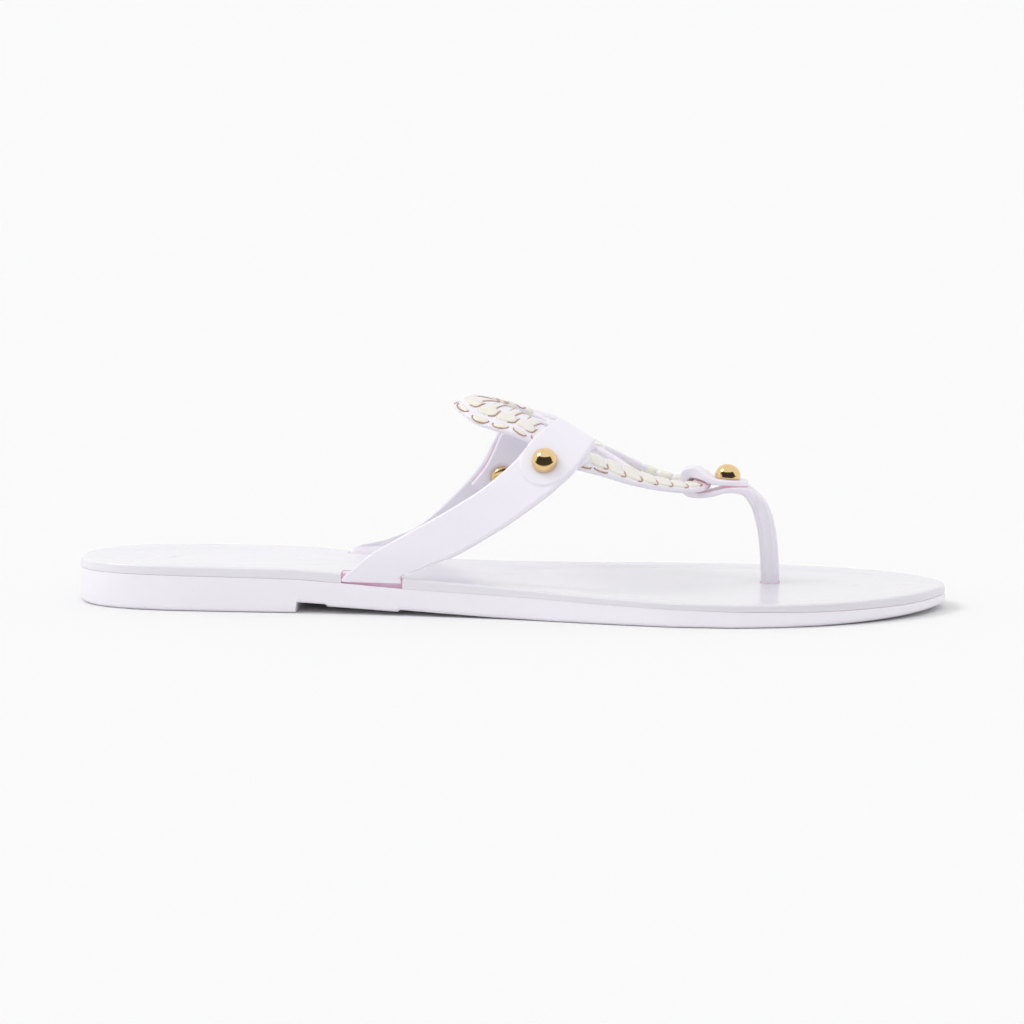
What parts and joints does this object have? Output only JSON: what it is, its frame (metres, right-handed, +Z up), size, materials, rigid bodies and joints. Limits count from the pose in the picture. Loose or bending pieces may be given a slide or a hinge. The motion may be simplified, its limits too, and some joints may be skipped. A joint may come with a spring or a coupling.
{
  "type": "jelly thong sandal",
  "caption": "White right-foot jelly thong sandal with a low block heel, side straps, openwork pearl-stitched vamp plate and gold dome studs.",
  "frame": {"origin": "on the floor plane under the middle of the sole's box, Z = 0", "axes": "+X to the toe, +Y to the medial (big toe) side, +Z up"},
  "size_m": [0.254, 0.0956, 0.0618],
  "materials": {
    "white_jelly": "satin moulded PVC, faint lilac white",
    "footbed_jelly": "semi-gloss moulded PVC, pale grey lilac",
    "pearl_stitch": "pearl cream moulded PVC over a lilac white base",
    "gold_metal": "polished pale gold"
  },
  "bodies": {
    "root": {"outsole": "white_jelly", "footbed": "footbed_jelly", "strap_lateral": "white_jelly", "strap_medial": "white_jelly", "toe_post": "white_jelly", "vamp_plate": "pearl_stitch", "stud_lateral": "gold_metal", "stud_medial": "gold_metal", "stud_toe": "gold_metal", "stud_back_lateral": "gold_metal", "stud_back_medial": "gold_metal"}
  },
  "joints": []
}
